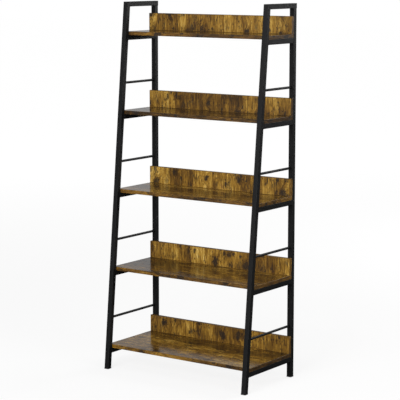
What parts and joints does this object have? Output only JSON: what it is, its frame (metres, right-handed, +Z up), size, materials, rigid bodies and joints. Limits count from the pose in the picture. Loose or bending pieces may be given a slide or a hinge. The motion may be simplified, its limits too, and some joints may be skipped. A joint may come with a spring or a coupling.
{
  "type": "ladder shelf",
  "caption": "Free-standing ladder shelf: wooden boards with low back boards on two leaning-front side frames of black square steel tube.",
  "frame": {"origin": "bottom centre of the whole object, on the floor", "axes": "+Z up, the front faces -Y, the long side of the shelves runs along X"},
  "size_m": [0.7016, 0.3538, 1.5],
  "materials": {
    "frame_steel": "black powder coat, fine satin texture",
    "shelf_board": "rustic brown laminate with the grain along the shelf, semi-gloss",
    "back_board": "rustic brown laminate with upright grain and dark knots, semi-gloss",
    "black_plastic": "black moulded plastic, matt",
    "bolt_steel": "black oxide steel",
    "insert_steel": "zinc plated steel"
  },
  "bodies": {
    "root": {"left_front_post": "frame_steel", "left_rear_post": "frame_steel", "left_top_rail": "frame_steel", "left_shelf_rail_1": "frame_steel", "left_shelf_rail_2": "frame_steel", "left_shelf_rail_3": "frame_steel", "left_shelf_rail_4": "frame_steel", "left_shelf_rail_5": "frame_steel", "left_side_rod_1": "frame_steel", "left_side_rod_2": "frame_steel", "left_side_rod_3": "frame_steel", "left_side_rod_4": "frame_steel", "left_front_foot_cap": "black_plastic", "left_rear_foot_cap": "black_plastic", "left_top_rail_plug": "black_plastic", "right_front_post": "frame_steel", "right_rear_post": "frame_steel", "right_top_rail": "frame_steel", "right_shelf_rail_1": "frame_steel", "right_shelf_rail_2": "frame_steel", "right_shelf_rail_3": "frame_steel", "right_shelf_rail_4": "frame_steel", "right_shelf_rail_5": "frame_steel", "right_side_rod_1": "frame_steel", "right_side_rod_2": "frame_steel", "right_side_rod_3": "frame_steel", "right_side_rod_4": "frame_steel", "right_front_foot_cap": "black_plastic", "right_rear_foot_cap": "black_plastic", "right_top_rail_plug": "black_plastic", "shelf_1": "shelf_board", "back_board_1": "back_board", "shelf_2": "shelf_board", "back_board_2": "back_board", "shelf_3": "shelf_board", "back_board_3": "back_board", "shelf_4": "shelf_board", "back_board_4": "back_board", "shelf_5": "shelf_board", "back_board_5": "back_board", "shelf_bolts": "bolt_steel", "back_board_bolts": "bolt_steel", "shelf_insert_nuts": "insert_steel", "back_board_insert_nuts": "insert_steel"}
  },
  "joints": []
}
